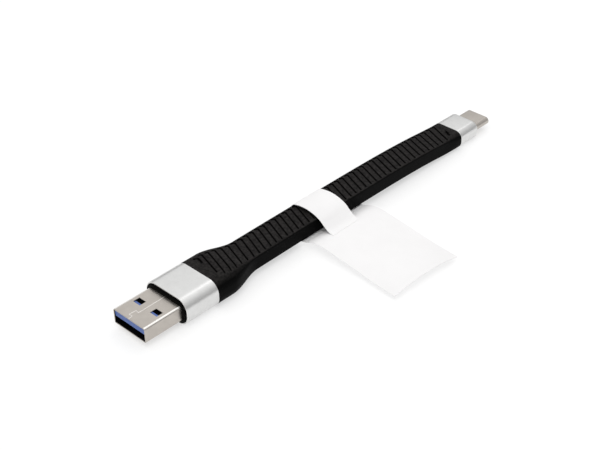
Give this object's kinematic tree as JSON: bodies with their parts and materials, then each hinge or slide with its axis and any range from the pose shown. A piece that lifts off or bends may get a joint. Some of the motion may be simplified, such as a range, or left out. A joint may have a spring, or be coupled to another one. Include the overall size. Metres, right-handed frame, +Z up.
{
  "type": "charging cable",
  "caption": "Short flat ribbed charging cable joining a USB-A plug and a USB-C plug, each in a metal sleeve, with a blank paper flag label round the strap.",
  "frame": {"origin": "middle of the USB-A sleeve's flat underside, which lies on the table", "axes": "+X along the cable from the USB-A plug to the USB-C plug, +Z up from the table, the label's flag on the -Y side"},
  "size_m": [0.1389, 0.0459, 0.0079],
  "materials": {
    "sleeve_aluminium": "satin bead-blasted, fine bright edge",
    "shell_nickel": "nickel plated, faintly warm",
    "contact_gold": "gold plated",
    "tongue_blue": "moulded, semi-matt",
    "mould_black": "moulded, semi-matt",
    "board_green": "solder mask",
    "strap_rubber": "soft-touch moulding, ribbed on top",
    "flex_film": "polyimide film",
    "chip_ceramic": "fired, dull",
    "label_paper": "uncoated white"
  },
  "bodies": {
    "usb_a_end": {"usb_a_sleeve": "sleeve_aluminium", "usb_a_shell": "shell_nickel", "usb_a_tongue": "tongue_blue", "usb_a_carrier": "mould_black", "usb_a_contact_vbus": "contact_gold", "usb_a_contact_d_minus": "contact_gold", "usb_a_contact_d_plus": "contact_gold", "usb_a_contact_gnd": "contact_gold", "usb_a_contact_rx_minus": "contact_gold", "usb_a_contact_rx_plus": "contact_gold", "usb_a_contact_drain": "contact_gold", "usb_a_contact_tx_minus": "contact_gold", "usb_a_contact_tx_plus": "contact_gold", "usb_a_board": "board_green", "usb_a_inner_mould": "mould_black", "strap": "strap_rubber", "flex_circuit": "flex_film", "paper_label": "label_paper"},
    "usb_c_end": {"usb_c_sleeve": "sleeve_aluminium", "usb_c_shell": "shell_nickel", "usb_c_liner": "mould_black", "usb_c_contact_holder": "mould_black", "usb_c_contact_a1_gnd": "contact_gold", "usb_c_contact_a2_tx_plus": "contact_gold", "usb_c_contact_a3_tx_minus": "contact_gold", "usb_c_contact_a4_vbus": "contact_gold", "usb_c_contact_a5_cc": "contact_gold", "usb_c_contact_a6_d_plus": "contact_gold", "usb_c_contact_a7_d_minus": "contact_gold", "usb_c_contact_a9_vbus": "contact_gold", "usb_c_contact_a12_gnd": "contact_gold", "usb_c_contact_b12_gnd": "contact_gold", "usb_c_contact_b11_rx_plus": "contact_gold", "usb_c_contact_b10_rx_minus": "contact_gold", "usb_c_contact_b9_vbus": "contact_gold", "usb_c_contact_b4_vbus": "contact_gold", "usb_c_contact_b1_gnd": "contact_gold", "usb_c_latch_plate": "shell_nickel", "usb_c_ground_spring_top": "shell_nickel", "usb_c_ground_spring_bottom": "shell_nickel", "usb_c_board": "board_green", "usb_c_pullup_resistor": "chip_ceramic", "usb_c_capacitor": "chip_ceramic", "usb_c_inner_mould": "mould_black"}
  },
  "joints": [
    {"name": "strap_bend", "type": "hinge", "parent": "usb_a_end", "child": "usb_c_end", "pos_m": [0.056, 0, 0.00423], "axis": [0, -1, 0], "range_deg": [-90, 90], "stiffness_Nm_per_rad": 0.05, "deforming": ["strap", "flex_circuit", "paper_label"]}
  ]
}
